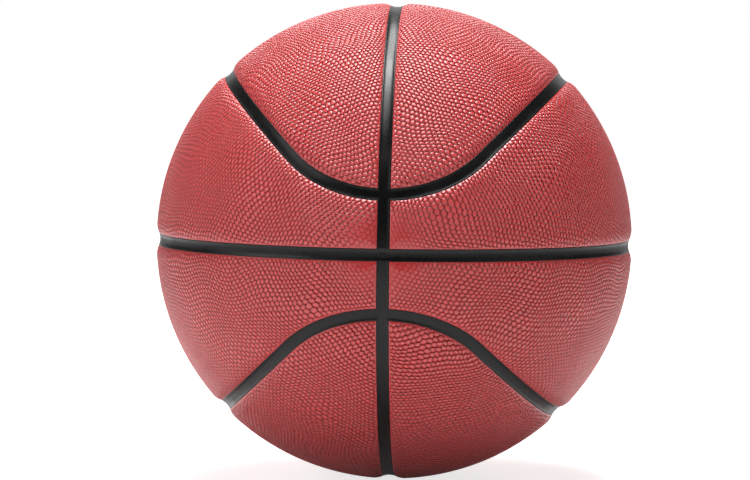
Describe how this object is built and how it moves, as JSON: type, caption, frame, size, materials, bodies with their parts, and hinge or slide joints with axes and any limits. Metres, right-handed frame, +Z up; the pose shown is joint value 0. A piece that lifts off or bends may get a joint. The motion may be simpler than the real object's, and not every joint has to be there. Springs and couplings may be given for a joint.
{
  "type": "basketball",
  "caption": "Indoor basketball of composite-leather panels parted by recessed rubber channels, with an inflation valve at the back.",
  "frame": {"origin": "centre of the ball", "axes": "+Z up, through the middle of the top panels; -Y through the crossing of the channels that faces the viewer; +X to the viewer's right, through the middle of the equator channel"},
  "size_m": [0.238, 0.2374, 0.238],
  "materials": {
    "cover": "satin",
    "channel": "satin",
    "pad": "matte",
    "carcass": "matte",
    "winding": "matte",
    "bladder": "satin",
    "valve_boss": "satin",
    "valve_plug": "matte"
  },
  "bodies": {
    "root": {"bladder": "bladder", "valve_boss": "valve_boss", "valve_plug": "valve_plug", "thread_winding": "winding", "carcass": "carcass", "channel_meridian": "channel", "channel_equator_right": "channel", "channel_equator_left": "channel", "channel_upper_right": "channel", "channel_upper_left": "channel", "channel_lower_right": "channel", "channel_lower_left": "channel", "pad_top_right": "pad", "pad_top_left": "pad", "pad_bottom_right": "pad", "pad_bottom_left": "pad", "pad_side_right_upper": "pad", "pad_side_left_upper": "pad", "pad_side_right_lower": "pad", "pad_side_left_lower": "pad", "cover_top_right": "cover", "cover_top_left": "cover", "cover_bottom_right": "cover", "cover_bottom_left": "cover", "cover_side_right_upper": "cover", "cover_side_left_upper": "cover", "cover_side_right_lower": "cover", "cover_side_left_lower": "cover"}
  },
  "joints": []
}
